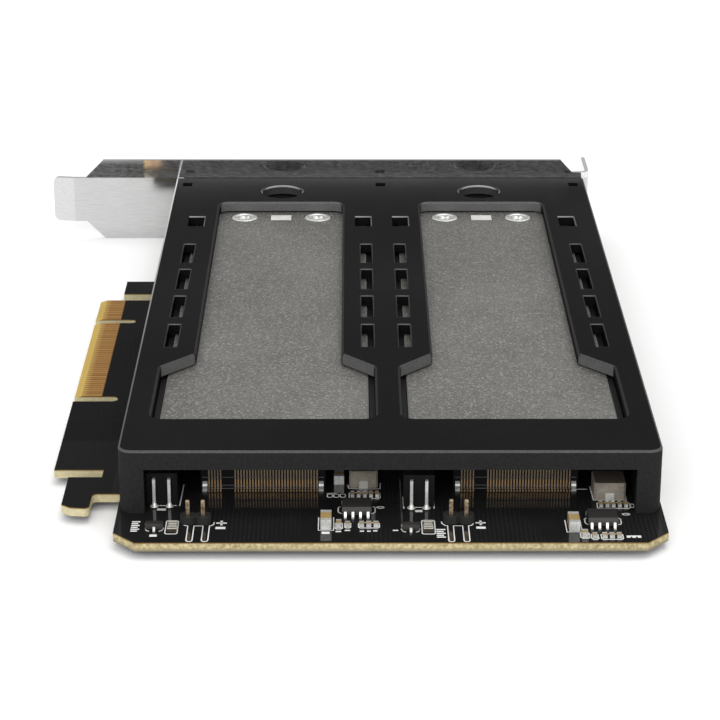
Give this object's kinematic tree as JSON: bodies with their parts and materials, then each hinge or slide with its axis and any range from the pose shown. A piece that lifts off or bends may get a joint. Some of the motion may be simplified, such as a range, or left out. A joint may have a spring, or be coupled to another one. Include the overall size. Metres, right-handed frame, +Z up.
{
  "type": "drive adapter card",
  "caption": "Expansion card with a full-height slot bracket and a vented black cage; M.2 drive trays slide out through the bracket.",
  "frame": {"origin": "bottom centre of the card lying flat, component side up, level with the screw heads and the bracket's lower edge that it rests on", "axes": "+Z up out of the component side, +Y along the card towards the slot bracket, +X from the contact fingers across the card to the bracket's screw flange"},
  "size_m": [0.12, 0.1722, 0.0184],
  "materials": {
    "board_black": "satin black mask",
    "contact_gold": "gold plated",
    "bracket_steel": "bright brushed",
    "screw_steel": "zinc plated",
    "cage_black": "matt black",
    "tray_black": "matt black",
    "lid_grey": "sand-blasted grey",
    "bright_tab": "bright",
    "pad_grey": "soft matt",
    "post_brass": "turned",
    "connector_black": "moulded",
    "tail_copper": "plated",
    "tin": "tinned",
    "inductor_champagne": "moulded metal powder",
    "chip_black": "moulded",
    "chip_tan": "ceramic",
    "pin_gold": "plated"
  },
  "bodies": {
    "card": {"circuit_board": "board_black", "top_edge_contacts": "contact_gold", "bottom_edge_contacts": "contact_gold", "slot_bracket": "bracket_steel", "bracket_screws": "screw_steel", "drive_cage": "cage_black", "cage_screws": "screw_steel", "left_drive_connector": "connector_black", "left_connector_contacts": "tail_copper", "left_connector_anchors": "tin", "left_power_inductor": "inductor_champagne", "left_inductor_ends": "tin", "left_regulator": "chip_black", "left_regulator_legs": "tin", "left_transistor": "chip_black", "left_transistor_legs": "tin", "left_resistor_network": "chip_black", "left_tall_capacitor": "chip_tan", "left_chip_bodies": "chip_tan", "left_chip_ends": "tin", "left_header_base": "connector_black", "left_header_pins": "pin_gold", "left_lead_socket": "connector_black", "left_socket_leads": "tin", "right_drive_connector": "connector_black", "right_connector_contacts": "tail_copper", "right_connector_anchors": "tin", "right_power_inductor": "inductor_champagne", "right_inductor_ends": "tin", "right_regulator": "chip_black", "right_regulator_legs": "tin", "right_transistor": "chip_black", "right_transistor_legs": "tin", "right_resistor_network": "chip_black", "right_tall_capacitor": "chip_tan", "right_chip_bodies": "chip_tan", "right_chip_ends": "tin", "right_header_base": "connector_black", "right_header_pins": "pin_gold", "right_lead_socket": "connector_black", "right_socket_leads": "tin"},
    "left_tray": {"left_tray_frame": "tray_black", "left_tray_lid": "lid_grey", "left_lid_screws": "screw_steel", "left_lid_tab": "bright_tab", "left_thermal_pad": "pad_grey", "left_drive_post": "post_brass", "left_tray_front": "tray_black"},
    "right_tray": {"right_tray_frame": "tray_black", "right_tray_lid": "lid_grey", "right_lid_screws": "screw_steel", "right_lid_tab": "bright_tab", "right_thermal_pad": "pad_grey", "right_drive_post": "post_brass", "right_tray_front": "tray_black"}
  },
  "joints": [
    {"name": "left_tray_slide", "type": "slide", "parent": "card", "child": "left_tray", "axis": [0, 1, 0], "range_m": [0, 0.135]},
    {"name": "right_tray_slide", "type": "slide", "parent": "card", "child": "right_tray", "axis": [0, 1, 0], "range_m": [0, 0.135]}
  ]
}
